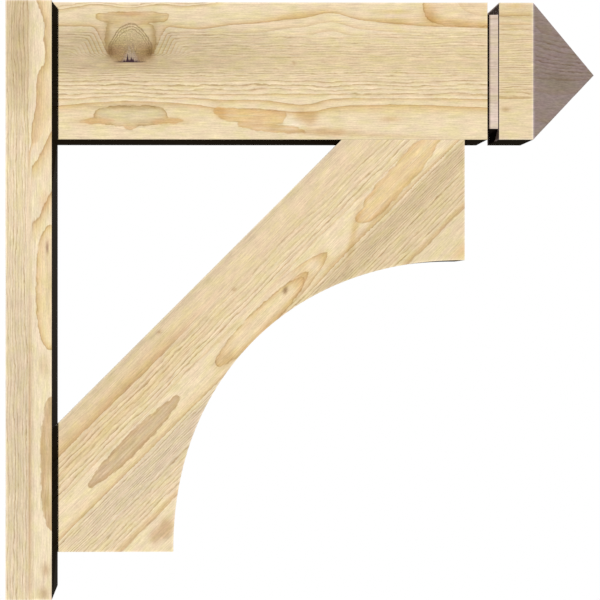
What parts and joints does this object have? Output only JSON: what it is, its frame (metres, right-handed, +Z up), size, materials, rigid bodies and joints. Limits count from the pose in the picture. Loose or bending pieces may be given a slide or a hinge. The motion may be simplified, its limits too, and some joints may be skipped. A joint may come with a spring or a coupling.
{
  "type": "timber outlooker",
  "caption": "Wall bracket of rough-sawn timber: a back plate, a level beam with a grooved and pointed end, and a curved brace under it.",
  "frame": {"origin": "centre of the back plate's wall face", "axes": "+X out from the wall along the beam, +Y across the width, +Z up"},
  "size_m": [0.6097, 0.1906, 0.6096],
  "materials": {
    "plate_timber": "rough sawn, unfinished",
    "beam_timber": "rough sawn, unfinished",
    "brace_timber": "rough sawn, unfinished"
  },
  "bodies": {
    "root": {"back_plate": "plate_timber", "beam": "beam_timber", "brace": "brace_timber"}
  },
  "joints": []
}
